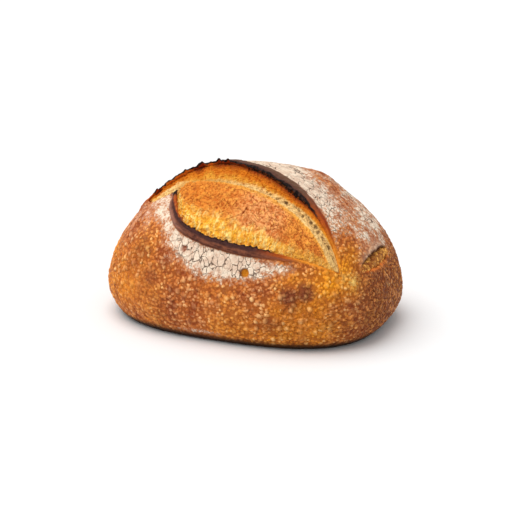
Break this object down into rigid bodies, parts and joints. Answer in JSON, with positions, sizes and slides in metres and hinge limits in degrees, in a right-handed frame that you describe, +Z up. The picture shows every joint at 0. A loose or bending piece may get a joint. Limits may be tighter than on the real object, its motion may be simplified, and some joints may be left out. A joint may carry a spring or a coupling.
{
  "type": "sourdough loaf",
  "caption": "Short, tall sourdough loaf with a long opened score, a raised burnt ear, a bulge of torn crumb, a rolled lower lip and a flat foot to rest on.",
  "frame": {"origin": "on the ground under the middle of the loaf", "axes": "+X along the loaf, +Z up, the long score opens towards -Y and up"},
  "size_m": [0.2322, 0.1619, 0.1265],
  "materials": {
    "crust": "matte baked crust, golden brown, dusted with flour above and burnt along the edges of the score"
  },
  "bodies": {
    "root": {"loaf": "crust"}
  },
  "joints": []
}
